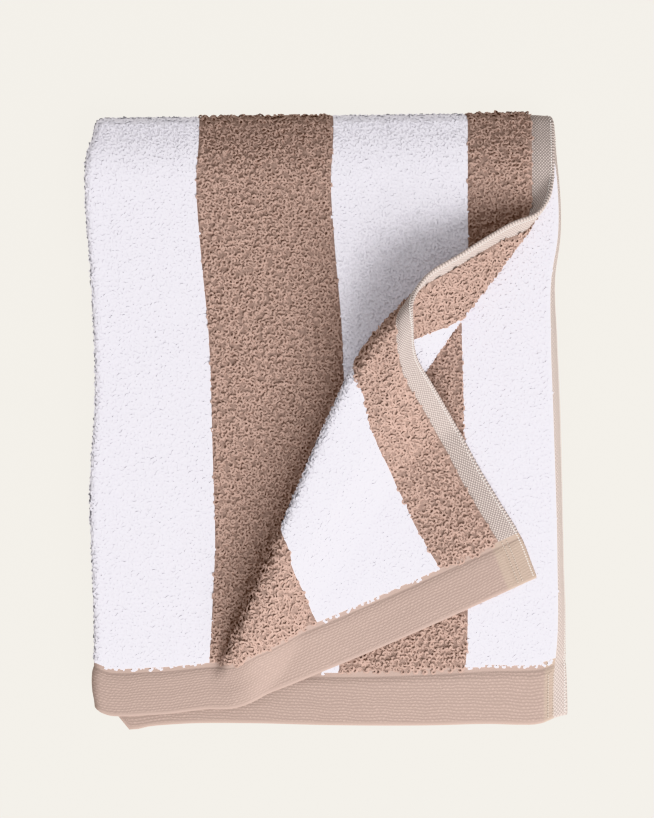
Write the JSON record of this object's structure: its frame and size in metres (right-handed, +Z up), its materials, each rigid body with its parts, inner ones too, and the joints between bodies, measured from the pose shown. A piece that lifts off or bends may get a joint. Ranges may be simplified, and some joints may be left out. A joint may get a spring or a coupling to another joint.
{
  "type": "folded hand towel",
  "caption": "Striped terry hand towel with flat woven end bands, folded into a thick rectangle, one front corner pushed over in a soft rolled pleat.",
  "frame": {"origin": "on the resting surface, under the middle of the folded towel's outline", "axes": "+Z up; +Y from the towel's front ends, where its end bands show, to its back fold; +X from the long fold at its left to its open long edges"},
  "size_m": [0.252, 0.3218, 0.0774],
  "materials": {
    "striped_terry": "looped cotton pile in wide white and taupe lengthwise stripes, with flat twill end bands and narrow stitched side hems"
  },
  "bodies": {
    "root": {"towel": "striped_terry"}
  },
  "joints": []
}
